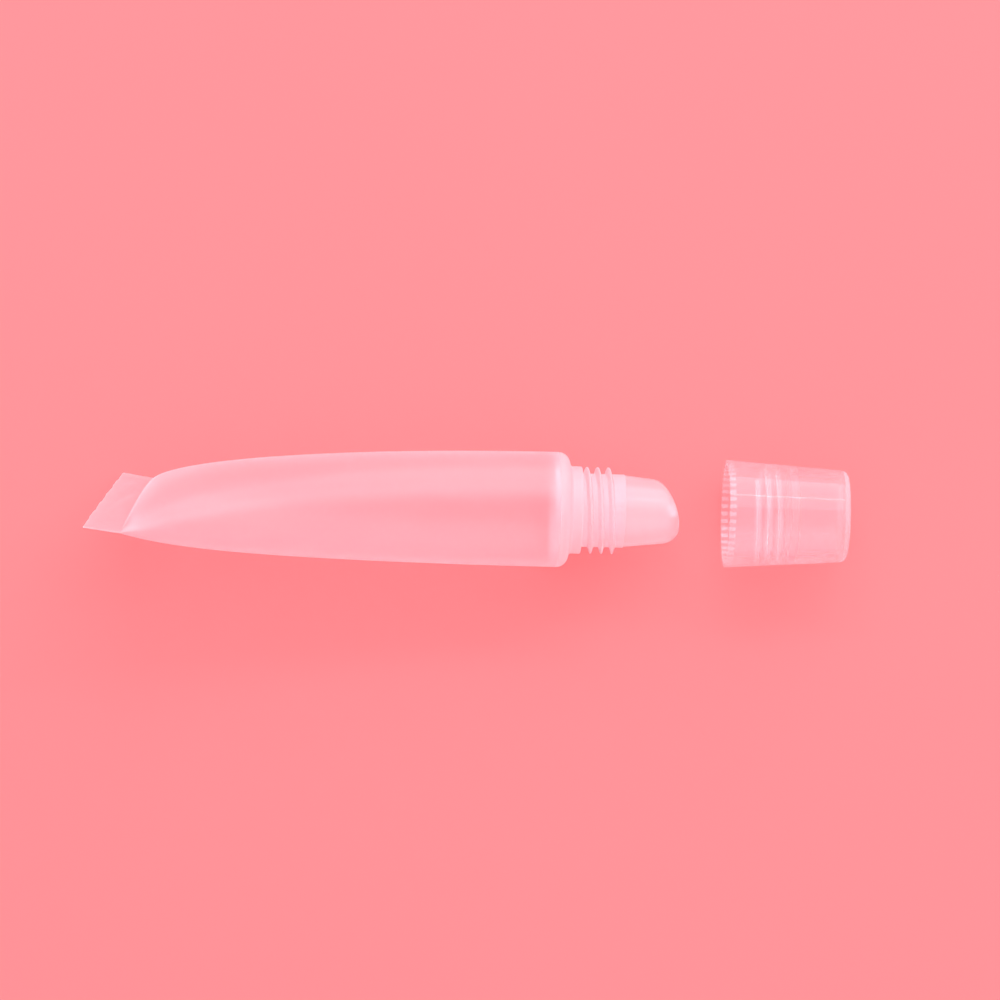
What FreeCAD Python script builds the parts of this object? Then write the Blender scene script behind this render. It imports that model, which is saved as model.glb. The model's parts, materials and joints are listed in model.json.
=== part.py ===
"""A squeeze tube for lip gloss, lying open on a flat surface with its screw cap in line with its tip.

Five pieces are built about a common axis, X, in tube coordinates: x = 0 is the front face of the
shoulder, and x grows from the crimped tail towards the applicator tip. Angles about the axis are
measured from +Y towards +Z. The finished row is then tilted as it lies, tail up, and moved so
that the origin is at the bottom centre of its bounding box.
"""
import FreeCAD, Part
import math
import os

# ---------------------------------------------------------------- driving dimensions (mm, degrees)
# Sleeve: a round soft tube whose tail is pressed flat and sealed by a crimp
SLEEVE_RADIUS = 8.0
SLEEVE_WALL = 0.5
SLEEVE_FRONT_X = -1.9
CRIMP_INNER_X = -60.05
CRIMP_OUTER_X = -64.8
CRIMP_THICKNESS = 0.8
CRIMP_ROLL = 17.7          # the crimp's line leans this far from upright, its upper end towards -Y
CRIMP_INNER_SKEW = 10.9    # the crimp isn't square to the axis: its upper end is further back
CRIMP_OUTER_SKEW = 12.3
TAIL_DRIFT = -0.9          # how far the soft tail has bent sideways at the crimp's inner edge
CRIMP_END_DRIFT = -0.24    # and at its outer edge, so the crimp kinks back a little
BULGE_POWER = 0.33         # how quickly the flat tail opens up to the round tube
LENS_SHARPNESS = 0.25      # how pointed the cross-section's edges are at the crimp
LENS_FADE = 6.0            # distance over which the pointed cross-section becomes an ellipse

# Shoulder and neck: one moulding, welded into the sleeve
SHOULDER_ROUND = 1.6
SKIRT_LENGTH = 0.7
SHOULDER_WALL = 1.0
COLLAR_RADIUS = 6.08
COLLAR_LENGTH = 1.4
NECK_RADIUS = 5.1
NECK_FRONT_X = 7.37
NECK_BORE_RADIUS = 3.9

# Screw thread on the neck, and the matching one in the cap
PITCH = 1.5
NECK_CREST_RADIUS = 6.03
NECK_THREAD_X = 2.09       # where a crest crosses the +Y side, at angle 0
NECK_THREAD_START = -60.0
NECK_THREAD_TURNS = 2.83
CAP_CREST_RADIUS = 5.45
CAP_THREAD_START = 277.0
CAP_THREAD_TURNS = 2.67
RIDGE_ROOT_WIDTH = 0.95
RIDGE_CREST_WIDTH = 0.22
RIDGE_SINK = 0.15          # how far a ridge is rooted in its wall

# Slanted applicator tip, with a plug that is pressed into the neck
TIP_BASE_RADIUS = 5.0
TIP_TAPER = 6.3
TIP_WALL = 1.2
TIP_FILLET = 1.3
TIP_PLUG_LENGTH = 3.5
TIP_PLUG_WALL = 0.7
TIP_CAVITY_TAPER = 0.6
SLANT_CENTRE = (4.07, -2.85)    # (x, y) of the axis, parallel to Z, that the slanted face curves about
SLANT_RADIUS = 11.0
ORIFICE_ANGLE = 17.0       # where the orifice is on that curve, from the X direction towards +Y
ORIFICE_RADIUS = 0.9

# Cap: a cone that narrows towards its closed end
CAP_LENGTH = 17.0
CAP_MOUTH_RADIUS = 7.5
CAP_TAPER = 3.86
CAP_END_ROUND = 1.1
CAP_END_WALL = 1.1
CAP_BORE_RADIUS = 6.35
CAP_MOUTH_STEP = (1.0, 6.75)       # depth and radius of the wider lip at the mouth
CAP_LIP = (8.4, 8.7, 5.6)          # from, to and radius of the lip that holds the seal ring
CAP_GROOVE = (9.9, 5.92)           # where the seal ring's groove ends, and its radius
CAP_INNER_RADII = (5.5, 5.25)      # behind the groove, and at the end wall
RATCHET_TEETH = 40
RATCHET_DEPTH = 0.3
RATCHET_RAMP = 0.8                 # share of each tooth's step that its ramp takes
RATCHET_OVERCUT = (0.1, 0.3)       # how far the notches' cutters reach past the rim, and inwards

# Seal ring, soft, in the cap's groove
RING_FROM = 8.8
RING_TO = 9.8
RING_OUTER_RADIUS = 5.87
RING_INNER_RADIUS = 4.95
RING_CHAMFER = 0.15

# Places of the cap along the row
CLOSED_RIM_X = 0.06
CAP_TRAVEL = 21.5          # from lying open to screwed home
TAIL_SAMPLES = 240         # points of each cross-section that are tried for where the tail touches down

AXIS_TURN = FreeCAD.Rotation(FreeCAD.Vector(1, 1, 1), 120)    # carries Z to X, X to Y and Y to Z


# ---------------------------------------------------------------- general helpers
def vec(x, y=0.0, z=0.0):
    return FreeCAD.Vector(x, y, z)


def line(start, end):
    return Part.LineSegment(vec(*start), vec(*end)).toShape()


def arc(start, middle, end):
    return Part.Arc(vec(*start), vec(*middle), vec(*end)).toShape()


def revolved(edges):
    """A solid turned about the X axis from a closed outline of edges in the XY plane."""
    face = Part.Face(Part.Wire(Part.__sortEdges__(edges)))
    return face.revolve(vec(0), vec(1), 360)


def turned(points):
    """A solid turned about the X axis from the corners (x, radius) of its outline."""
    closed = points + points[:1]
    return revolved([line(a, b) for a, b in zip(closed, closed[1:])])


def smooth_loft(wires):
    """A solid through cross-sections. A higher degree than 3 ripples between them."""
    return Part.makeLoft(wires, True, False, False, 3)


def only_solid(shape):
    """The single solid that a boolean has left, with split faces joined again."""
    clean = shape.removeSplitter()
    if len(clean.Solids) != 1:
        raise RuntimeError(f"expected one solid, found {len(clean.Solids)}")
    return clean.Solids[0]


def thread_ridge(angle_zero_x, start_angle, turns, root_radius, crest_radius):
    """A right-handed ridge about the X axis. It crosses angle 0 at angle_zero_x, plus whole pitches."""
    outward = 1.0 if crest_radius > root_radius else -1.0
    foot_radius = root_radius - outward * RIDGE_SINK
    corners = [
        vec(foot_radius, 0, -RIDGE_ROOT_WIDTH / 2),
        vec(foot_radius, 0, RIDGE_ROOT_WIDTH / 2),
        vec(crest_radius, 0, RIDGE_CREST_WIDTH / 2),
        vec(crest_radius, 0, -RIDGE_CREST_WIDTH / 2),
    ]
    profile = Part.makePolygon(corners + corners[:1])
    helix = Part.Wire(Part.makeHelix(PITCH, turns * PITCH, foot_radius).Edges)
    ridge = helix.makePipeShell([profile], True, True)
    ridge.rotate(vec(0), vec(0, 0, 1), start_angle)
    ridge.translate(vec(0, 0, angle_zero_x + PITCH * start_angle / 360))
    ridge.Placement = FreeCAD.Placement(vec(0), AXIS_TURN).multiply(ridge.Placement)
    return ridge


# ---------------------------------------------------------------- sleeve
SLEEVE_LENGTH = SLEEVE_FRONT_X - CRIMP_INNER_X
EDGE_POINTS = 21
STATIONS = (0.0, 0.35, 0.8, 1.4, 2.3, 3.6, 5.5, 8.2, 12.0, 17.0, 23.5, 31.0, 39.5, 48.5, SLEEVE_LENGTH)


def half_thickness(distance):
    """Half the sleeve's thickness, across the crimp's plane, at a distance in front of the crimp."""
    left = 1 - distance / SLEEVE_LENGTH
    return max(SLEEVE_RADIUS * (1 - left * left) ** BULGE_POWER, CRIMP_THICKNESS / 2)


def half_outline(distance, width, inset):
    """Points (along, across) of one half of a cross-section, from its upper edge to its lower edge."""
    thick = half_thickness(distance)
    power = 0.5 + LENS_SHARPNESS * math.exp(-distance / LENS_FADE)
    fold = CRIMP_THICKNESS / 2 * (1 - distance / SLEEVE_LENGTH) ** 3
    points = []
    for k in range(EDGE_POINTS):
        u = math.cos(math.pi * k / (EDGE_POINTS - 1))
        lens = max(1 - u * u, 0.0) ** power
        if inset:
            across = (thick - inset) * lens
        else:
            across = (thick - fold) * lens + fold * math.sqrt(max(1 - u ** 8, 0.0))
        points.append(((width - inset) * u, across))
    return points


def half_width(distance):
    """Half the cross-section's width, found so that its outline stays as long as the round tube's."""
    low, high = SLEEVE_RADIUS * 0.9, SLEEVE_RADIUS * math.pi / 2
    for _ in range(40):
        middle = (low + high) / 2
        outline = half_outline(distance, middle, 0.0)
        length = sum(math.dist(a, b) for a, b in zip(outline, outline[1:]))
        if length > math.pi * SLEEVE_RADIUS:
            high = middle
        else:
            low = middle
    return low


def sleeve_point(x, along, across, skew, drift):
    """A point of the sleeve, from its place in a cross-section that leans with the crimp."""
    roll = math.radians(CRIMP_ROLL)
    return vec(
        x - along * math.tan(math.radians(skew)),
        drift - along * math.sin(roll) + across * math.cos(roll),
        along * math.cos(roll) + across * math.sin(roll),
    )


def closed_section(outline, x, skew, drift):
    """A closed cross-section, of two curves that meet at the upper and lower edges."""
    steps = [k / (EDGE_POINTS - 1) for k in range(EDGE_POINTS)]
    edges = []
    for side in (1, -1):
        curve = Part.BSplineCurve()
        points = [sleeve_point(x, along, side * across, skew, drift) for along, across in outline[::side]]
        curve.interpolate(Points=points, Parameters=steps)
        edges.append(curve.toShape())
    return Part.Wire(edges)


def sleeve_section(distance, inset=0.0):
    """The cross-section at a distance in front of the crimp, or the hollow's own, set in by the wall."""
    left = 1 - distance / SLEEVE_LENGTH
    outline = half_outline(distance, half_width(distance), inset)
    x = CRIMP_INNER_X + distance
    return closed_section(outline, x, CRIMP_INNER_SKEW * left ** 2, TAIL_DRIFT * left ** 2)


def crimp_end_section():
    outline = half_outline(0.0, half_width(0.0), 0.0)
    return closed_section(outline, CRIMP_OUTER_X, CRIMP_OUTER_SKEW, CRIMP_END_DRIFT)


def make_sleeve():
    outside = smooth_loft([sleeve_section(d) for d in STATIONS])
    strip = Part.makeLoft([crimp_end_section(), sleeve_section(0.0)], True, True)
    hollow = smooth_loft([sleeve_section(d, SLEEVE_WALL) for d in STATIONS[2:]])
    return only_solid(outside.fuse(strip).cut(hollow))


# ---------------------------------------------------------------- shoulder and neck
def make_shoulder_neck():
    skirt_radius = SLEEVE_RADIUS - SLEEVE_WALL
    skirt_x = SLEEVE_FRONT_X - SKIRT_LENGTH
    round_x = SLEEVE_FRONT_X
    round_radius = SLEEVE_RADIUS - SHOULDER_ROUND
    slope = math.sqrt(0.5) * SHOULDER_ROUND
    face_x = round_x + SHOULDER_ROUND
    inner_radius = skirt_radius - SHOULDER_WALL / 2
    corners = [
        (face_x, round_radius),
        (0.0, COLLAR_RADIUS),
        (COLLAR_LENGTH, COLLAR_RADIUS),
        (COLLAR_LENGTH, NECK_RADIUS),
        (NECK_FRONT_X, NECK_RADIUS),
        (NECK_FRONT_X, NECK_BORE_RADIUS),
        (face_x - SHOULDER_WALL, NECK_BORE_RADIUS),
        (round_x - SHOULDER_WALL / 2, inner_radius),
        (skirt_x, inner_radius),
        (skirt_x, skirt_radius),
        (round_x, skirt_radius),
        (round_x, SLEEVE_RADIUS),
    ]
    edges = [line(a, b) for a, b in zip(corners, corners[1:])]
    middle = (round_x + slope, round_radius + slope)
    edges.append(arc(corners[-1], middle, corners[0]))
    body = revolved(edges)
    ridge = thread_ridge(
        NECK_THREAD_X, NECK_THREAD_START, NECK_THREAD_TURNS, NECK_RADIUS, NECK_CREST_RADIUS
    )
    return only_solid(body.fuse(ridge))


# ---------------------------------------------------------------- applicator tip
def slanted_block(inset):
    """Everything behind the slanted face, or behind a copy of that face set back by inset."""
    depth = 4 * TIP_BASE_RADIUS
    foot = vec(*SLANT_CENTRE, -depth / 2)
    return Part.makeCylinder(SLANT_RADIUS - inset, depth, foot, vec(0, 0, 1))


def tip_radius(x):
    return TIP_BASE_RADIUS - (x - NECK_FRONT_X) * math.tan(math.radians(TIP_TAPER))


def make_applicator_tip():
    base_x = NECK_FRONT_X
    beyond_x = SLANT_CENTRE[0] + SLANT_RADIUS + 1
    plug_x = base_x - TIP_PLUG_LENGTH
    channel_radius = NECK_BORE_RADIUS - TIP_PLUG_WALL
    cone = turned([
        (base_x, 0.0),
        (base_x, TIP_BASE_RADIUS),
        (beyond_x, tip_radius(beyond_x)),
        (beyond_x, 0.0),
    ])
    nose = cone.common(slanted_block(0.0))
    face_edges = [edge for edge in nose.Edges if edge.BoundBox.XMax > base_x + 1 and not is_seam(edge)]
    nose = nose.makeFillet(TIP_FILLET, face_edges)
    plug = turned([
        (plug_x, 0.0),
        (plug_x, NECK_BORE_RADIUS),
        (base_x + 1, NECK_BORE_RADIUS),
        (base_x + 1, 0.0),
    ])
    channel = turned([
        (plug_x - 1, 0.0),
        (plug_x - 1, channel_radius),
        (base_x, channel_radius),
        (beyond_x, channel_radius - TIP_CAVITY_TAPER),
        (beyond_x, 0.0),
    ]).common(slanted_block(TIP_WALL))
    angle = math.radians(ORIFICE_ANGLE)
    forward = vec(math.cos(angle), math.sin(angle))
    inside = vec(*SLANT_CENTRE) + forward * (SLANT_RADIUS - 2 * TIP_WALL)
    orifice = Part.makeCylinder(ORIFICE_RADIUS, 4 * TIP_WALL, inside, forward)
    return only_solid(nose.fuse(plug).cut(channel).cut(orifice))


def is_seam(edge):
    """A straight edge that a turned face has where it closes on itself."""
    return edge.Curve.TypeId == "Part::GeomLine"


# ---------------------------------------------------------------- cap and seal ring, in cap coordinates
# In cap coordinates x = 0 is the rim, and x grows towards the closed end.
def cap_radius(x):
    return CAP_MOUTH_RADIUS - x * math.tan(math.radians(CAP_TAPER))


def make_cap():
    step_depth, step_radius = CAP_MOUTH_STEP
    lip_from, lip_to, lip_radius = CAP_LIP
    groove_end, groove_radius = CAP_GROOVE
    throat_radius, end_radius = CAP_INNER_RADII
    inner_end = CAP_LENGTH - CAP_END_WALL
    body = turned([
        (0.0, 0.0),
        (0.0, cap_radius(0.0)),
        (CAP_LENGTH, cap_radius(CAP_LENGTH)),
        (CAP_LENGTH, 0.0),
    ])
    end_rim = [e for e in body.Edges if e.BoundBox.XMin > CAP_LENGTH - 0.01 and not is_seam(e)]
    body = body.makeFillet(CAP_END_ROUND, end_rim)
    cavity = turned([
        (-1.0, 0.0),
        (-1.0, step_radius),
        (step_depth, step_radius),
        (step_depth, CAP_BORE_RADIUS),
        (lip_from, CAP_BORE_RADIUS),
        (lip_from, lip_radius),
        (lip_to, lip_radius),
        (lip_to, groove_radius),
        (groove_end, groove_radius),
        (groove_end, throat_radius),
        (inner_end, end_radius),
        (inner_end, 0.0),
    ])
    ridge = thread_ridge(
        NECK_THREAD_X + PITCH / 2 - CLOSED_RIM_X,
        CAP_THREAD_START,
        CAP_THREAD_TURNS,
        CAP_BORE_RADIUS,
        CAP_CREST_RADIUS,
    )
    shell = body.cut(cavity).fuse(ridge)
    return only_solid(shell.cut(ratchet_notches(step_radius)))


def ratchet_notches(inner_radius):
    """Saw-tooth notches all round the inside of the rim, one wedge for each tooth."""
    step = 2 * math.pi / RATCHET_TEETH
    outer_radius = inner_radius + (CAP_MOUTH_RADIUS - inner_radius) / 2
    past_rim, inwards = RATCHET_OVERCUT
    notches = []
    for k in range(RATCHET_TEETH):
        angle = k * step
        across = [(-past_rim, angle), (-past_rim, angle + RATCHET_RAMP * step), (RATCHET_DEPTH, angle)]
        near = [ring_point(x, inner_radius - inwards, a) for x, a in across]
        far = [ring_point(x, outer_radius, a) for x, a in across]
        wires = [Part.makePolygon(points + points[:1]) for points in (near, far)]
        notches.append(Part.makeLoft(wires, True, True))
    return Part.makeCompound(notches)


def ring_point(x, radius, angle):
    return vec(x, radius * math.cos(angle), radius * math.sin(angle))


def make_seal_ring():
    return turned([
        (RING_FROM, RING_INNER_RADIUS + RING_CHAMFER),
        (RING_FROM, RING_OUTER_RADIUS - RING_CHAMFER),
        (RING_FROM + RING_CHAMFER, RING_OUTER_RADIUS),
        (RING_TO - RING_CHAMFER, RING_OUTER_RADIUS),
        (RING_TO, RING_OUTER_RADIUS - RING_CHAMFER),
        (RING_TO, RING_INNER_RADIUS + RING_CHAMFER),
        (RING_TO - RING_CHAMFER, RING_INNER_RADIUS),
        (RING_FROM + RING_CHAMFER, RING_INNER_RADIUS),
    ])


# ---------------------------------------------------------------- the row, as it lies
def unscrewed(shape):
    """A piece of the cap, carried from screwed home to lying open by the screw's own motion."""
    shape.translate(vec(CLOSED_RIM_X + CAP_TRAVEL))
    shape.rotate(vec(0), vec(1), 360 * CAP_TRAVEL / PITCH)
    return shape


def resting_tilt():
    """The tilt, in degrees, at which the sleeve's tail and the cap's rim both touch down."""
    rim_x = CLOSED_RIM_X + CAP_TRAVEL
    tilts = []
    for section in [crimp_end_section()] + [sleeve_section(d) for d in STATIONS]:
        for point in section.discretize(TAIL_SAMPLES):
            tilts.append(math.atan((-CAP_MOUTH_RADIUS - point.z) / (rim_x - point.x)))
    return math.degrees(max(tilts))


def main():
    pieces = {
        "sleeve": make_sleeve(),
        "shoulder_neck": make_shoulder_neck(),
        "applicator_tip": make_applicator_tip(),
        "cap": unscrewed(make_cap()),
        "seal_ring": unscrewed(make_seal_ring()),
    }
    tilt = resting_tilt()
    for shape in pieces.values():
        shape.rotate(vec(0), vec(0, 1), tilt)
    box = Part.makeCompound(list(pieces.values())).optimalBoundingBox(False, False)
    shift = vec(-box.Center.x, -box.Center.y, -box.ZMin)
    os.makedirs("parts", exist_ok=True)
    for name, shape in pieces.items():
        shape.translate(shift)
        if not shape.isValid():
            raise RuntimeError(f"{name} isn't a valid solid")
        shape.exportStep(f"parts/{name}.step")
        print(f"{name}: volume {shape.Volume:.1f} mm3, {len(shape.Faces)} faces")
    axis = FreeCAD.Rotation(vec(0, 1), tilt).multVec(vec(1))
    print(f"tilt {tilt:.6f} degrees, tube axis {axis.x:.7f} {axis.y:.7f} {axis.z:.7f}")
    print(f"shoulder's front face centre at {shift.x:.5f} {shift.y:.5f} {shift.z:.5f} mm")
    print(f"row {box.XLength:.2f} x {box.YLength:.2f} x {box.ZLength:.2f} mm")


main()
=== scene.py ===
"""The looks of an open lip gloss squeeze tube: frosted sleeve, milky head and tip, clear cap.

Every piece is a fine mesh built from the same dimensions as the CAD solid that it replaces, in
millimetres along the tube's own axis. place() then carries it into the row's frame, in metres.
"""

import json
import math

import bmesh
import bpy
import numpy as np
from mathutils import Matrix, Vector


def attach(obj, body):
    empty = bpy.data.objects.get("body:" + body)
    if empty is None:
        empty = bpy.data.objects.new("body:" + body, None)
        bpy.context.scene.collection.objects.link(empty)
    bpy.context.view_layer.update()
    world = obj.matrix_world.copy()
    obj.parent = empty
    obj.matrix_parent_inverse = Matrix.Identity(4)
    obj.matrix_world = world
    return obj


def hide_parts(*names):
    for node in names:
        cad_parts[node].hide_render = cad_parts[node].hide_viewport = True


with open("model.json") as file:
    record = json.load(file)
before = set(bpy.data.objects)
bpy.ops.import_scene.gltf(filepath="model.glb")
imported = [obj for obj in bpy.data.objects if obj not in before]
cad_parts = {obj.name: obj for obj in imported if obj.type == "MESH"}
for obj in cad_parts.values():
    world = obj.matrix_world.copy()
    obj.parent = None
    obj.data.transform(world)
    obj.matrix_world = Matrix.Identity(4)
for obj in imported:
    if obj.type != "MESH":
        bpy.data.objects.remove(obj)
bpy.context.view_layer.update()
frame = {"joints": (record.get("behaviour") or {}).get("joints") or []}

MM = 0.001

# ---------------------------------------------------------------- dimensions, as in the CAD
# Millimetres and degrees. Tube coordinates have x along the axis from the shoulder's face towards the
# tip. Cap coordinates have x from the cap's rim towards its closed end.
SLEEVE_RADIUS = 8.0
SLEEVE_WALL = 0.5
SLEEVE_FRONT_X = -1.9
CRIMP_INNER_X = -60.05
CRIMP_OUTER_X = -64.8
CRIMP_THICKNESS = 0.8
CRIMP_ROLL = 17.7
CRIMP_INNER_SKEW = 10.9
CRIMP_OUTER_SKEW = 12.3
TAIL_DRIFT = -0.9
CRIMP_END_DRIFT = -0.24
BULGE_POWER = 0.33
LENS_SHARPNESS = 0.25
LENS_FADE = 6.0
HOLLOW_FROM = 0.8              # the hollow starts this far in front of the crimp

SHOULDER_ROUND = 1.6
SKIRT_LENGTH = 0.7
SHOULDER_WALL = 1.0
COLLAR_RADIUS = 6.08
COLLAR_LENGTH = 1.4
NECK_RADIUS = 5.1
NECK_FRONT_X = 7.37
NECK_BORE_RADIUS = 3.9
SEAM = 0.02                    # gap left between two mouldings, so that their faces don't coincide

PITCH = 1.5
NECK_CREST_RADIUS = 6.03
NECK_THREAD_X = 2.09
NECK_THREAD_START = -60.0
NECK_THREAD_TURNS = 2.83
CAP_CREST_RADIUS = 5.45
CAP_THREAD_START = 277.0
CAP_THREAD_TURNS = 2.67
RIDGE_ROOT_WIDTH = 0.95
RIDGE_CREST_WIDTH = 0.22
RIDGE_RUN_OUT = 24.0           # degrees over which a thread fades in and out

TIP_BASE_RADIUS = 5.0
TIP_TAPER = 6.3
TIP_WALL = 1.2
TIP_PLUG_LENGTH = 3.5
TIP_PLUG_WALL = 0.7
TIP_CAVITY_TAPER = 0.6
TIP_ROUNDING = (0.6, 2.0)      # of the slanted face's edge, on its short side and its long side
SLANT_CENTRE = (4.07, -2.85)
SLANT_RADIUS = 11.0
ORIFICE_ANGLE = 17.0
ORIFICE_RADIUS = 0.9

CAP_LENGTH = 17.0
CAP_MOUTH_RADIUS = 7.5
CAP_TAPER = 3.86
CAP_END_ROUND = 1.1
CAP_END_WALL = 1.1
CAP_BORE_RADIUS = 6.35
CAP_MOUTH_STEP = (1.0, 6.75)
CAP_LIP = (8.4, 8.7, 5.6)
CAP_GROOVE = (9.9, 5.92)
CAP_INNER_RADII = (5.5, 5.25)
RATCHET_TEETH = 40
RATCHET_DEPTH = 0.3
RATCHET_RAMP = 0.8

RING_FROM = 8.8
RING_TO = 9.8
RING_OUTER_RADIUS = 5.87
RING_INNER_RADIUS = 4.95

CLOSED_RIM_X = 0.06
CAP_TRAVEL = 21.5
RING_MIDDLE_X = 8.0            # where the record's hinge point is, in cap coordinates

# ---------------------------------------------------------------- the tube's axis, from the record
TURN = next(j for j in frame["joints"] if j["name"] == "cap_turn")
AXIS = -Vector(TURN["axis"]).normalized()
SIDE = Vector((0.0, 1.0, 0.0))
UPWARD = AXIS.cross(SIDE).normalized()
RIM_X = CLOSED_RIM_X + CAP_TRAVEL
SHOULDER = Vector(TURN["pos_m"]) - AXIS * (RIM_X + RING_MIDDLE_X) * MM
UNSCREWED = math.radians(360 * CAP_TRAVEL / PITCH)


def place(points, rim_x=None):
    """Tube coordinates, or cap coordinates if rim_x is given, to the row's frame in metres."""
    p = np.asarray(points, float)
    if rim_x is not None:
        c, s = math.cos(UNSCREWED), math.sin(UNSCREWED)
        p = np.stack([p[:, 0] + rim_x, p[:, 1] * c - p[:, 2] * s, p[:, 1] * s + p[:, 2] * c], 1)
    basis = np.array([AXIS, SIDE, UPWARD])
    return p * MM @ basis + np.array(SHOULDER)


# ---------------------------------------------------------------- mesh helpers
SHARP_CORNER = 62.0            # degrees
SMALLEST_EDGE = 2e-7           # metres; shorter ones are joined away


class Shell:
    """Collects grids of points into one closed mesh."""

    def __init__(self):
        self.points = []
        self.faces = []
        self.coats = []

    def grid(self, rows, wrap_rows=False, coats=0):
        """Adds rows of points, each row a closed loop. Returns the index of each point.

        coats says of all rows, of each row or of each point which of the piece's materials it wants.
        A face takes the lowest of its corners' numbers."""
        rows = np.asarray(rows, float)
        n, m = rows.shape[:2]
        index = np.arange(n * m).reshape(n, m) + len(self.points)
        self.points.extend(rows.reshape(-1, 3).tolist())
        coats = np.asarray(coats, int)
        if coats.ndim == 1:
            coats = coats[:, None]
        coats = np.broadcast_to(coats, (n, m))
        for i in range(n if wrap_rows else n - 1):
            after = (i + 1) % n
            self.join(index[i], index[after], np.minimum(coats[i], coats[after]))
        return index

    def join(self, a, b, coats=0):
        """Quads between two closed loops of the same length."""
        m = len(a)
        coats = np.broadcast_to(coats, m)
        for j in range(m):
            after = (j + 1) % m
            self.faces.append((int(a[j]), int(a[after]), int(b[after]), int(b[j])))
            self.coats.append(int(min(coats[j], coats[after])))

    def fill_flat(self, loop):
        """Quads across a flattened loop, from its one side to the other."""
        m = len(loop)
        for j in range(m // 2):
            quad = (loop[j], loop[j + 1], loop[(m - j - 1) % m], loop[(m - j) % m])
            corners = []
            for i in quad:
                if int(i) not in corners:
                    corners.append(int(i))
            if len(corners) > 2:
                self.faces.append(tuple(corners))
                self.coats.append(0)

    def build(self, name, rim_x=None, sharp=SHARP_CORNER):
        """The mesh as an object. Edges that turn by more than sharp degrees stay sharp."""
        mesh = bpy.data.meshes.new(name)
        mesh.from_pydata(place(self.points, rim_x).tolist(), [], self.faces)
        mesh.polygons.foreach_set("material_index", self.coats)
        work = bmesh.new()
        work.from_mesh(mesh)
        bmesh.ops.dissolve_degenerate(work, edges=work.edges, dist=SMALLEST_EDGE)
        bmesh.ops.recalc_face_normals(work, faces=work.faces)
        work.to_mesh(mesh)
        work.free()
        mesh.polygons.foreach_set("use_smooth", [True] * len(mesh.polygons))
        mesh.set_sharp_from_angle(angle=math.radians(sharp))
        mesh.update()
        piece = bpy.data.objects.new(name, mesh)
        bpy.context.scene.collection.objects.link(piece)
        return piece


def rounded(corners, steps=5):
    """A closed outline from (x, radius, corner radius), with each corner turned into an arc."""
    outline = []
    n = len(corners)
    for i, (x, r, fillet) in enumerate(corners):
        here = np.array([x, r])
        before = np.array(corners[i - 1][:2]) - here
        after = np.array(corners[(i + 1) % n][:2]) - here
        if fillet <= 0:
            outline.append(here)
            continue
        before_length, after_length = np.linalg.norm(before), np.linalg.norm(after)
        before, after = before / before_length, after / after_length
        half = math.acos(max(-1.0, min(1.0, float(before @ after)))) / 2
        reach = min(fillet / math.tan(half), 0.45 * before_length, 0.45 * after_length)
        start, end = here + before * reach, here + after * reach
        for k in range(steps + 1):
            t = k / steps
            outline.append((1 - t) ** 2 * start + 2 * t * (1 - t) * here + t * t * end)
    return np.array(outline)


def divided(outline, longest):
    """The closed outline with no step longer than longest(point)."""
    result = []
    n = len(outline)
    for i in range(n):
        a, b = outline[i], outline[(i + 1) % n]
        parts = max(1, math.ceil(np.linalg.norm(b - a) / longest((a + b) / 2)))
        result.extend(a + (b - a) * k / parts for k in range(parts))
    return np.array(result)


def ring_rows(x, radius, angles):
    """Points (x, radius * cos, radius * sin). x and radius are arrays of rows by angles."""
    return np.stack([x, radius * np.cos(angles), radius * np.sin(angles)], -1)


def smoothstep(t):
    t = np.clip(t, 0.0, 1.0)
    return t * t * (3 - 2 * t)


def ridge_radius(x, angles, zero_x, start, turns, root, crest):
    """The radius that a thread's ridge reaches at each point, or the root's own radius off the ridge."""
    outward = crest > root
    half_foot, half_crest = RIDGE_ROOT_WIDTH / 2, RIDGE_CREST_WIDTH / 2
    best = np.full(np.broadcast(x, angles).shape, root)
    degrees = np.degrees(angles)
    end = start + 360 * turns
    for k in range(-1, math.ceil(end / 360) + 1):
        unwound = degrees + 360 * k
        gap = np.abs(x - (zero_x + PITCH * unwound / 360))
        share = smoothstep((half_foot - gap) / (half_foot - half_crest / 2))
        fade = smoothstep((unwound - start) / RIDGE_RUN_OUT) * smoothstep((end - unwound) / RIDGE_RUN_OUT)
        height = root + (crest - root) * share * fade
        best = np.maximum(best, height) if outward else np.minimum(best, height)
    return best


# ---------------------------------------------------------------- sleeve
SLEEVE_LENGTH = SLEEVE_FRONT_X - CRIMP_INNER_X
HALF_STEPS = 72
U = np.cos(math.pi * np.arange(HALF_STEPS + 1) / HALF_STEPS)


def half_thickness(distance):
    left = 1 - distance / SLEEVE_LENGTH
    return max(SLEEVE_RADIUS * max(1 - left * left, 0.0) ** BULGE_POWER, CRIMP_THICKNESS / 2)


def half_outline(distance, width, inset):
    thick = half_thickness(distance)
    power = 0.5 + LENS_SHARPNESS * math.exp(-distance / LENS_FADE)
    fold = CRIMP_THICKNESS / 2 * (1 - distance / SLEEVE_LENGTH) ** 3
    lens = np.maximum(1 - U * U, 0.0) ** power
    if inset:
        across = (thick - inset) * lens
    else:
        across = (thick - fold) * lens + fold * np.sqrt(np.maximum(1 - U ** 8, 0.0))
    return (width - inset) * U, across


def half_width(distance):
    low, high = SLEEVE_RADIUS * 0.9, SLEEVE_RADIUS * math.pi / 2
    for _ in range(40):
        middle = (low + high) / 2
        along, across = half_outline(distance, middle, 0.0)
        if np.hypot(np.diff(along), np.diff(across)).sum() > math.pi * SLEEVE_RADIUS:
            high = middle
        else:
            low = middle
    return low


def sleeve_loop(distance, inset=0.0):
    """The closed loop of a cross-section, as (along, across) pairs."""
    along, across = half_outline(distance, half_width(distance), inset)
    return np.concatenate([along, along[-2:0:-1]]), np.concatenate([across, -across[-2:0:-1]])


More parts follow.
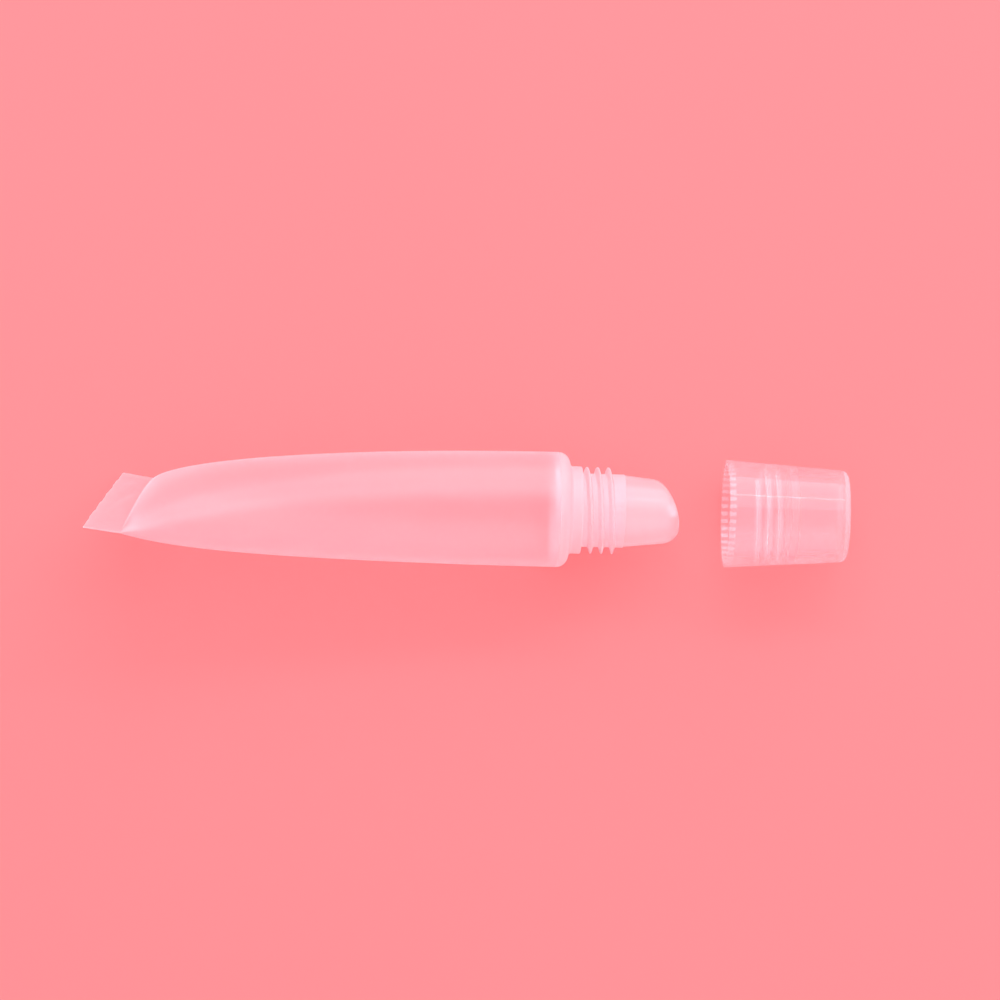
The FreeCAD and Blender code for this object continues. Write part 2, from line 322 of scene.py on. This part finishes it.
def leaned(x, along, across, skew, drift):
    roll = math.radians(CRIMP_ROLL)
    return np.stack(
        [
            x - along * math.tan(math.radians(skew)),
            drift - along * math.sin(roll) + across * math.cos(roll),
            along * math.cos(roll) + across * math.sin(roll),
        ],
        -1,
    )


def section_row(distance, inset=0.0):
    left = 1 - distance / SLEEVE_LENGTH
    along, across = sleeve_loop(distance, inset)
    return leaned(
        CRIMP_INNER_X + distance, along, across, CRIMP_INNER_SKEW * left ** 2, TAIL_DRIFT * left ** 2
    )


CRIMP_ROWS = 34
STATIONS = 150                 # rows along the sleeve in front of the crimp
CROWDING = 1.6                 # how much closer together they are near the crimp
WEAVE = 4.6                    # the press's pattern, in radians per mm
EMBOSS = 0.09                  # height of the press's faint pattern on the crimp
EDGE_WAVER = 0.06              # how unevenly the tail is cut off


def crimp_rows():
    """Rows from the cut end to the crimp's inner edge, with the press's pattern and a wavering cut."""
    along, across = sleeve_loop(0.0)
    inner = leaned(CRIMP_INNER_X, along, across, CRIMP_INNER_SKEW, TAIL_DRIFT)
    outer = leaned(CRIMP_OUTER_X, along, across, CRIMP_OUTER_SKEW, CRIMP_END_DRIFT)
    rng = np.random.default_rng(11)
    phases = rng.uniform(0, 2 * math.pi, 8)
    waver = EDGE_WAVER * (np.sin(along * 1.3 + phases[0]) + 0.5 * np.sin(along * 3.1 + phases[1]))
    roll = math.radians(CRIMP_ROLL)
    outward = np.array([0.0, math.cos(roll), math.sin(roll)])
    rows = []
    for i in range(CRIMP_ROWS):
        t = i / CRIMP_ROWS
        row = outer * (1 - t) + inner * t
        row[:, 0] += waver * (1 - t) ** 2
        depth = t * (CRIMP_INNER_X - CRIMP_OUTER_X)
        weave = np.sin(along * WEAVE + phases[2]) * np.sin(depth * WEAVE + phases[3])
        blotch = np.sin(along * 1.1 + depth * 0.7 + phases[4])
        blotch *= np.sin(depth * 1.9 - along * 0.6 + phases[5])
        fade = math.sin(math.pi * min(max(t, 0.04), 0.96))
        side = np.sign(across) * np.minimum(np.abs(across) / (CRIMP_THICKNESS / 2), 1.0)
        row += outward * (EMBOSS * fade * (0.6 * weave + 0.8 * blotch) * side)[:, None]
        rows.append(row)
    return rows


def make_sleeve():
    shell = Shell()
    stations = SLEEVE_LENGTH * np.linspace(0, 1, STATIONS) ** CROWDING
    outside = crimp_rows() + [section_row(d) for d in stations]
    hollow = stations[stations > HOLLOW_FROM]
    inside = [section_row(d, SLEEVE_WALL) for d in [HOLLOW_FROM, *hollow]]
    outer = shell.grid(outside)
    inner = shell.grid(inside, coats=1)
    shell.join(outer[-1], inner[-1])
    shell.fill_flat(outer[0])
    shell.fill_flat(inner[0])
    return shell.build("sleeve_soft", sharp=50.0)


# ---------------------------------------------------------------- shoulder and neck
FINE_STEP = 0.06               # between a screw thread's rows
COARSE_STEP = 0.4              # between all other rows


def neck_step(p):
    """The longest step of the neck's outline at a point."""
    return FINE_STEP if p[0] > COLLAR_LENGTH - 0.1 and p[1] > NECK_RADIUS - 0.05 else COARSE_STEP


def make_shoulder_neck():
    skirt_radius = SLEEVE_RADIUS - SLEEVE_WALL - SEAM
    face_x = SLEEVE_FRONT_X + SHOULDER_ROUND
    round_radius = SLEEVE_RADIUS - SHOULDER_ROUND
    inner_radius = skirt_radius - SHOULDER_WALL / 2
    turns = [math.radians(90 * k / 10) for k in range(11)]
    arc = [
        (SLEEVE_FRONT_X + SHOULDER_ROUND * math.sin(a), round_radius + SHOULDER_ROUND * math.cos(a), 0.0)
        for a in turns
    ]
    arc[0] = (SLEEVE_FRONT_X + SEAM, SLEEVE_RADIUS, 0.0)
    corners = arc + [
        (0.0, COLLAR_RADIUS, 0.12),
        (COLLAR_LENGTH, COLLAR_RADIUS, 0.18),
        (COLLAR_LENGTH, NECK_RADIUS, 0.12),
        (NECK_FRONT_X, NECK_RADIUS, 0.16),
        (NECK_FRONT_X, NECK_BORE_RADIUS, 0.1),
        (face_x - SHOULDER_WALL, NECK_BORE_RADIUS, 0.4),
        (SLEEVE_FRONT_X - SHOULDER_WALL / 2, inner_radius, 0.6),
        (SLEEVE_FRONT_X - SKIRT_LENGTH, inner_radius, 0.08),
        (SLEEVE_FRONT_X - SKIRT_LENGTH, skirt_radius, 0.08),
        (SLEEVE_FRONT_X + SEAM, skirt_radius, 0.0),
    ]
    outline = divided(rounded(corners), neck_step)
    angles = np.linspace(0, 2 * math.pi, 240, endpoint=False)[None, :]
    x = np.repeat(outline[:, :1], angles.shape[1], 1)
    radius = np.repeat(outline[:, 1:], angles.shape[1], 1)
    ridge = ridge_radius(
        x, angles, NECK_THREAD_X, NECK_THREAD_START, NECK_THREAD_TURNS, NECK_RADIUS, NECK_CREST_RADIUS
    )
    wall = (radius > NECK_RADIUS - 0.01) & (x > COLLAR_LENGTH) & (x < NECK_FRONT_X - 0.2)
    radius = np.where(wall, np.maximum(radius, ridge), radius)
    bore = outline[:, 1] < NECK_BORE_RADIUS + 0.15
    under = (outline[:, 0] < face_x - 0.2) & (outline[:, 1] < inner_radius + 0.05)
    shell = Shell()
    shell.grid(ring_rows(x, radius, angles), wrap_rows=True, coats=bore | under)
    return shell.build("shoulder_neck_moulding")


# ---------------------------------------------------------------- applicator tip
def cone_radius(x):
    return TIP_BASE_RADIUS - (x - NECK_FRONT_X) * math.tan(math.radians(TIP_TAPER))


def rounded_meet(a, b, fillet):
    """Below zero inside both of two shapes, with the edge where they meet rounded."""
    inside = np.minimum(np.maximum(a, b), -fillet)
    return inside + np.hypot(np.maximum(a + fillet, 0.0), np.maximum(b + fillet, 0.0))


def tip_outside(p):
    side = np.hypot(p[:, 1], p[:, 2]) - cone_radius(p[:, 0])
    front = np.hypot(p[:, 0] - SLANT_CENTRE[0], p[:, 1] - SLANT_CENTRE[1]) - SLANT_RADIUS
    short, long = TIP_ROUNDING
    fillet = short + (long - short) * smoothstep(0.5 - p[:, 1] / 8.0)
    return rounded_meet(side, front, fillet)


def tip_inside(p):
    channel = NECK_BORE_RADIUS - TIP_PLUG_WALL
    length = SLANT_CENTRE[0] + SLANT_RADIUS + 1 - NECK_FRONT_X
    taper = TIP_CAVITY_TAPER * np.clip((p[:, 0] - NECK_FRONT_X) / length, 0.0, 1.0)
    side = np.hypot(p[:, 1], p[:, 2]) - (channel - taper)
    front = np.hypot(p[:, 0] - SLANT_CENTRE[0], p[:, 1] - SLANT_CENTRE[1]) - (SLANT_RADIUS - TIP_WALL)
    return rounded_meet(side, front, 0.5)


TIP_AROUND = 200
TIP_UP = np.array([0.0, 0.0, 1.0])
ORIFICE_LIP = 0.12
HEART_DEPTH = 4.2              # the rays' last centre is this far behind the slanted face
RISING = 0.35                  # share of the rows whose centres rise along the axis
REACH = 14.0                   # no ray is longer
HALVINGS = 40                  # of the interval in which the surface is looked for


def tip_ray_rows(shape, base_x, count, orifice_radius):
    """Rows of points on a shape's surface, from a ring about the axis at base_x up to the orifice."""
    angle = math.radians(ORIFICE_ANGLE)
    forward = np.array([math.cos(angle), math.sin(angle), 0.0])
    mouth = np.array([*SLANT_CENTRE, 0.0]) + forward * SLANT_RADIUS
    heart = mouth - forward * HEART_DEPTH
    around = np.linspace(0, 2 * math.pi, TIP_AROUND, endpoint=False)
    rows = []
    for v in np.linspace(0, 1, count):
        rise = min(v / RISING, 1.0)
        tilt = angle * smoothstep(rise)
        pole = np.array([math.cos(tilt), math.sin(tilt), 0.0])
        across = np.array([-math.sin(tilt), math.cos(tilt), 0.0])
        origin = np.array([base_x, 0.0, 0.0]) * (1 - rise) + heart * rise
        closing = max(v - RISING, 0.0) / (1 - RISING)
        polar = math.pi / 2 * (1 - closing)
        direction = (
            math.cos(polar) * pole
            + math.sin(polar) * (np.cos(around)[:, None] * across + np.sin(around)[:, None] * TIP_UP)
        )
        low, high = np.zeros(TIP_AROUND), np.full(TIP_AROUND, REACH)
        for _ in range(HALVINGS):
            middle = (low + high) / 2
            outside = shape(origin + direction * middle[:, None]) > 0
            high = np.where(outside, middle, high)
            low = np.where(outside, low, middle)
        row = origin + direction * low[:, None]
        off = (row - mouth) - ((row - mouth) @ forward)[:, None] * forward
        if closing > 0 and np.linalg.norm(off, axis=1).min() < orifice_radius * 1.25:
            break
        rows.append(row)
    ring = mouth + orifice_radius * (
        np.cos(around)[:, None] * np.array([-math.sin(angle), math.cos(angle), 0.0])
        + np.sin(around)[:, None] * TIP_UP
    )
    rows.append(on_surface(shape, ring, forward))
    return rows


def on_surface(shape, ring, forward):
    """The ring's points, moved along forward on to the shape's surface."""
    low, high = np.full(len(ring), -6.0), np.full(len(ring), 2.0)
    for _ in range(HALVINGS):
        middle = (low + high) / 2
        outside = shape(ring + forward * middle[:, None]) > 0
        high = np.where(outside, middle, high)
        low = np.where(outside, low, middle)
    return ring + forward * low[:, None]


def make_applicator_tip():
    angle = math.radians(ORIFICE_ANGLE)
    forward = np.array([math.cos(angle), math.sin(angle), 0.0])
    outside = tip_ray_rows(tip_outside, NECK_FRONT_X, 110, ORIFICE_RADIUS + ORIFICE_LIP)
    plug_x = NECK_FRONT_X - TIP_PLUG_LENGTH
    inside = tip_ray_rows(tip_inside, plug_x, 60, ORIFICE_RADIUS + ORIFICE_LIP)
    around = np.linspace(0, 2 * math.pi, TIP_AROUND, endpoint=False)
    throat_ring = np.array([*SLANT_CENTRE, 0.0]) + ORIFICE_RADIUS * (
        np.cos(around)[:, None] * np.array([-math.sin(angle), math.cos(angle), 0.0])
        + np.sin(around)[:, None] * TIP_UP
    ) + forward * SLANT_RADIUS
    hole_out = on_surface(tip_outside, throat_ring, forward) - forward * ORIFICE_LIP
    hole_in = on_surface(tip_inside, throat_ring, forward) + forward * ORIFICE_LIP
    plug = [
        np.stack([np.full(TIP_AROUND, x), r * np.cos(around), r * np.sin(around)], -1)
        for x, r in (
            (plug_x, NECK_BORE_RADIUS - 0.1),
            (plug_x + 0.1, NECK_BORE_RADIUS - SEAM),
            (NECK_FRONT_X + SEAM, NECK_BORE_RADIUS - SEAM),
            (NECK_FRONT_X + SEAM, TIP_BASE_RADIUS - 0.06),
        )
    ]
    rows = plug + outside + [hole_out, hole_in] + inside[::-1]
    inner = [i < len(plug) - 1 or i > len(plug) + len(outside) for i in range(len(rows))]
    shell = Shell()
    shell.grid(rows, wrap_rows=True, coats=inner)
    return shell.build("applicator_tip_slanted")


# ---------------------------------------------------------------- cap, in cap coordinates
def cap_radius(x):
    return CAP_MOUTH_RADIUS - x * math.tan(math.radians(CAP_TAPER))


def cap_step(p):
    """The longest step of the cap's outline at a point."""
    threaded = CAP_MOUTH_STEP[0] < p[0] < CAP_LIP[0] and p[1] < CAP_BORE_RADIUS + 0.01
    return FINE_STEP if threaded else COARSE_STEP


def make_cap():
    step_depth, step_radius = CAP_MOUTH_STEP
    lip_from, lip_to, lip_radius = CAP_LIP
    groove_end, groove_radius = CAP_GROOVE
    throat_radius, end_radius = CAP_INNER_RADII
    inner_end = CAP_LENGTH - CAP_END_WALL
    tooth_radius = step_radius + (CAP_MOUTH_RADIUS - step_radius) / 2
    corners = [
        (0.0, cap_radius(0.0), 0.12),
        (CAP_LENGTH, cap_radius(CAP_LENGTH), CAP_END_ROUND),
        (CAP_LENGTH, 1.0, 0.15),
        (CAP_LENGTH - 0.18, 0.7, 0.1),
        (CAP_LENGTH - 0.18, 0.02, 0.0),
        (inner_end, 0.02, 0.0),
        (inner_end, end_radius, 0.6),
        (groove_end, throat_radius, 0.08),
        (groove_end, groove_radius, 0.06),
        (lip_to, groove_radius, 0.06),
        (lip_to, lip_radius, 0.08),
        (lip_from, lip_radius, 0.08),
        (lip_from, CAP_BORE_RADIUS, 0.15),
        (step_depth, CAP_BORE_RADIUS, 0.12),
        (step_depth, step_radius, 0.1),
        (0.0, step_radius, 0.0),
        (0.0, tooth_radius - 0.02, 0.0),
        (0.0, tooth_radius + 0.02, 0.0),
    ]
    outline = divided(rounded(corners, 8), cap_step)
    angles = np.linspace(0, 2 * math.pi, 12 * RATCHET_TEETH, endpoint=False)[None, :]
    x = np.repeat(outline[:, :1], angles.shape[1], 1)
    radius = np.repeat(outline[:, 1:], angles.shape[1], 1)
    ridge = ridge_radius(
        x,
        angles,
        NECK_THREAD_X + PITCH / 2 - CLOSED_RIM_X,
        CAP_THREAD_START,
        CAP_THREAD_TURNS,
        CAP_BORE_RADIUS,
        CAP_CREST_RADIUS,
    )
    bore = (np.abs(radius - CAP_BORE_RADIUS) < 0.02) & (x > step_depth + 0.1) & (x < lip_from - 0.1)
    radius = np.where(bore, np.minimum(radius, ridge), radius)
    phase = (angles / (2 * math.pi) * RATCHET_TEETH) % 1.0
    saw = np.where(phase < RATCHET_RAMP, 1 - phase / RATCHET_RAMP, 0.0)
    rim = (x < 0.02) & (radius < tooth_radius)
    x = np.where(rim, RATCHET_DEPTH * saw, x)
    thread = bore & (radius < CAP_BORE_RADIUS - 0.05)
    teeth = (x < step_depth - 0.05) & (radius < tooth_radius) & (phase > RATCHET_RAMP / 2)
    end = (x > inner_end + 0.1) & (radius > 1.0)
    hollow = (radius < cap_radius(x) - 0.3) & (x < inner_end + 0.05)
    coats = np.where(thread | teeth | end, 2, np.where(hollow, 1, 0))
    shell = Shell()
    shell.grid(ring_rows(x, radius, angles), wrap_rows=True, coats=coats)
    return shell.build("screw_cap", RIM_X)


def make_seal_ring():
    corners = [
        (RING_FROM, RING_INNER_RADIUS, 0.15),
        (RING_FROM, RING_OUTER_RADIUS, 0.15),
        (RING_TO, RING_OUTER_RADIUS, 0.15),
        (RING_TO, RING_INNER_RADIUS, 0.15),
    ]
    outline = rounded(corners, 6)
    angles = np.linspace(0, 2 * math.pi, 160, endpoint=False)[None, :]
    x = np.repeat(outline[:, :1], angles.shape[1], 1)
    radius = np.repeat(outline[:, 1:], angles.shape[1], 1)
    shell = Shell()
    shell.grid(ring_rows(x, radius, angles), wrap_rows=True)
    return shell.build("seal_ring_soft", RIM_X)


# ---------------------------------------------------------------- materials
CLOUDY = (0.99, 0.94, 0.985)
CLEAR = (1.0, 0.985, 1.0)


def new_material(name):
    material = bpy.data.materials.new(name)
    material.use_nodes = True
    tree = material.node_tree
    tree.nodes.clear()
    return material, tree


def noise(tree, scale, stretch=(1.0, 1.0, 1.0), detail=4.0):
    """Noise in the object's own metres, so scale is in cycles per metre."""
    where = tree.nodes.new("ShaderNodeTexCoord")
    mapping = tree.nodes.new("ShaderNodeMapping")
    mapping.inputs["Scale"].default_value = stretch
    texture = tree.nodes.new("ShaderNodeTexNoise")
    texture.inputs["Scale"].default_value = scale
    texture.inputs["Detail"].default_value = detail
    tree.links.new(where.outputs["Object"], mapping.inputs["Vector"])
    tree.links.new(mapping.outputs["Vector"], texture.inputs["Vector"])
    return texture.outputs["Fac"]


def ramp(tree, value, low, high, span=(0.3, 0.7)):
    node = tree.nodes.new("ShaderNodeValToRGB")
    node.color_ramp.elements[0].position = span[0]
    node.color_ramp.elements[1].position = span[1]
    node.color_ramp.elements[0].color = (*low, 1.0)
    node.color_ramp.elements[1].color = (*high, 1.0)
    tree.links.new(value, node.inputs["Fac"])
    return node.outputs["Color"]


def between(tree, value, low, high):
    node = tree.nodes.new("ShaderNodeMapRange")
    node.inputs["To Min"].default_value = low
    node.inputs["To Max"].default_value = high
    tree.links.new(value, node.inputs["Value"])
    return node.outputs["Result"]


BLOTCHES = 260.0               # cycles per metre of the three noises
GLOSS_PATCHES = 900.0
GRAIN = 5200.0
GRAIN_HEIGHT = 0.00002         # metres
COAT_IOR = 1.8
BLOOM_ROUGHNESS = 0.45
BLOOM_TINT = (1.0, 0.92, 0.95, 1.0)


def moulded(
    name,
    solid,
    through,
    rough,
    ior,
    grain,
    streak=(1.0, 1.0, 1.0),
    coat=0.0,
    bloom=0.0,
    coat_rough=0.08,
):
    """Natural plastic that lets light through: milky blotches, an uneven gloss and a fine grain.

    solid is the share of light that meets the wall at all, and through the share of that which
    passes on, bent and blurred. rough is the range of the roughness, and streak how the noises are
    scaled along each axis. bloom is the milky veil that shows where a wall is seen at a slant."""
    material, tree = new_material(name)
    output = tree.nodes.new("ShaderNodeOutputMaterial")
    shader = tree.nodes.new("ShaderNodeBsdfPrincipled")
    tree.links.new(shader.outputs["BSDF"], output.inputs["Surface"])
    shader.inputs["Alpha"].default_value = solid
    shader.inputs["Transmission Weight"].default_value = through
    shader.inputs["IOR"].default_value = ior
    shader.inputs["Coat Weight"].default_value = coat
    shader.inputs["Coat Roughness"].default_value = coat_rough
    shader.inputs["Coat IOR"].default_value = COAT_IOR
    shader.inputs["Sheen Weight"].default_value = bloom
    shader.inputs["Sheen Roughness"].default_value = BLOOM_ROUGHNESS
    shader.inputs["Sheen Tint"].default_value = BLOOM_TINT
    cloud = noise(tree, BLOTCHES, streak)
    tree.links.new(ramp(tree, cloud, CLOUDY, CLEAR), shader.inputs["Base Color"])
    gloss = noise(tree, GLOSS_PATCHES, streak)
    tree.links.new(between(tree, gloss, *rough), shader.inputs["Roughness"])
    bump = tree.nodes.new("ShaderNodeBump")
    bump.inputs["Strength"].default_value = grain
    bump.inputs["Distance"].default_value = GRAIN_HEIGHT
    tree.links.new(noise(tree, GRAIN, streak, 2.0), bump.inputs["Height"])
    tree.links.new(bump.outputs["Normal"], shader.inputs["Normal"])
    return material


# The render's clean-up treats a roughness above and below 0.274 differently, which shows as specks
# where a piece crosses it, so each range stays on one side. A slot's materials are in the order of
# the numbers in its shell's coats: the outside, the inside, then the places that look thicker.
LINING = moulded(
    "inside_of_the_wall", solid=0.38, through=0.95, rough=(0.3, 0.4), ior=1.13, grain=0.05, bloom=0.9
)
LOOKS = {
    "sleeve_plastic": [
        moulded(
            "frosted_polyethylene",
            solid=0.7,
            through=0.915,
            rough=(0.29, 0.38),
            ior=1.2,
            grain=0.3,
            streak=(0.25, 1.0, 1.0),
            coat=0.45,
            bloom=1.0,
            coat_rough=0.32,
        ),
        LINING,
    ],
    "neck_plastic": [
        moulded(
            "milky_polyethylene",
            solid=0.55,
            through=0.54,
            rough=(0.29, 0.36),
            ior=1.16,
            grain=0.2,
            bloom=0.2,
        ),
        LINING,
    ],
    "tip_plastic": [
        moulded(
            "smooth_milky_polyethylene",
            solid=0.55,
            through=0.70,
            rough=(0.285, 0.34),
            ior=1.18,
            grain=0.1,
            coat=0.6,
            bloom=0.3,
            coat_rough=0.2,
        ),
        LINING,
    ],
    "cap_plastic": [
        moulded(
            "clear_polypropylene",
            solid=0.55,
            through=0.85,
            rough=(0.2, 0.265),
            ior=1.16,
            grain=0.1,
            coat=0.5,
            bloom=0.35,
        ),
        moulded("inside_of_the_cap", 0.35, 0.93, rough=(0.2, 0.265), ior=1.05, grain=0.05),
        moulded("thick_polypropylene", 0.5, 0.56, rough=(0.2, 0.265), ior=1.03, grain=0.05),
    ],
    "seal_soft": [moulded("soft_elastomer", 0.35, 0.93, rough=(0.29, 0.35), ior=1.04, grain=0.05)],
}

PIECES = (
    (make_sleeve, "sleeve", "tube", "sleeve_plastic"),
    (make_shoulder_neck, "shoulder_neck", "tube", "neck_plastic"),
    (make_applicator_tip, "applicator_tip", "tube", "tip_plastic"),
    (make_cap, "cap", "cap", "cap_plastic"),
    (make_seal_ring, "seal_ring", "seal", "seal_soft"),
)
for make, node, body, slot in PIECES:
    piece = make()
    for material in LOOKS[slot]:
        piece.data.materials.append(material)
    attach(piece, body)
    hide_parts(node)


# ---------------------------------------------------------------- floor, light and camera
FLOOR_HALF = 1.5               # metres
SOFT_LILAC = (1.0, 0.90, 1.0)
ROOM_LIGHT = 0.94
CAMERA_LENS = 256.64           # mm, on a 36 mm sensor
CAMERA_PLACE = (0.004106, 0.0011157, 1.0)
CAMERA_TURN = 1.43             # degrees


def make_floor():
    mesh = bpy.data.meshes.new("floor")
    corners = [(x * FLOOR_HALF, y * FLOOR_HALF, 0.0) for x, y in ((-1, -1), (1, -1), (1, 1), (-1, 1))]
    mesh.from_pydata(corners, [], [(0, 1, 2, 3)])
    floor = bpy.data.objects.new("floor", mesh)
    bpy.context.scene.collection.objects.link(floor)
    material, tree = new_material("pale_pink_paper")
    output = tree.nodes.new("ShaderNodeOutputMaterial")
    shader = tree.nodes.new("ShaderNodeBsdfPrincipled")
    tree.links.new(shader.outputs["BSDF"], output.inputs["Surface"])
    shader.inputs["Roughness"].default_value = 0.85
    shader.inputs["Specular IOR Level"].default_value = 0.1
    tree.links.new(
        ramp(tree, noise(tree, 6.0, detail=2.0), (0.93, 0.219, 0.214), (0.95, 0.227, 0.222)),
        shader.inputs["Base Color"],
    )
    mesh.materials.append(material)


def make_light(name, location, size, power):
    """A soft lilac panel that faces the row. Metres and watts."""
    light = bpy.data.lights.new(name, "AREA")
    light.shape = "RECTANGLE"
    light.size, light.size_y = size
    light.energy = power
    light.color = SOFT_LILAC
    lamp = bpy.data.objects.new(name, light)
    lamp.location = location
    lamp.rotation_euler = (-Vector(location)).to_track_quat("-Z", "Y").to_euler()
    bpy.context.scene.collection.objects.link(lamp)


make_floor()
make_light("window", (0.12, 0.72, 0.74), (0.9, 0.05), 1.7)
make_light("sky", (0.32, 0.68, 0.73), (1.3, 0.95), 8.6)
make_light("low_window", (0.12, 1.0, 0.18), (1.6, 0.32), 5.0)
world = bpy.data.worlds.new("soft_room")
world.use_nodes = True
background = world.node_tree.nodes["Background"]
background.inputs["Color"].default_value = (*SOFT_LILAC, 1.0)
background.inputs["Strength"].default_value = ROOM_LIGHT
bpy.context.scene.world = world
bpy.context.scene.view_settings.view_transform = "Standard"
# A look through the cap and its ring to the floor and back crosses 16 surfaces.
bpy.context.scene.cycles.max_bounces = 26
bpy.context.scene.cycles.transmission_bounces = 22
bpy.context.scene.cycles.transparent_max_bounces = 32

lens = bpy.data.cameras.new("camera")
lens.lens = CAMERA_LENS
lens.sensor_width = 36.0
lens.clip_start = 0.01
camera = bpy.data.objects.new("camera", lens)
camera.location = CAMERA_PLACE
camera.rotation_euler = (0.0, 0.0, math.radians(CAMERA_TURN))
bpy.context.scene.collection.objects.link(camera)
bpy.context.scene.camera = camera
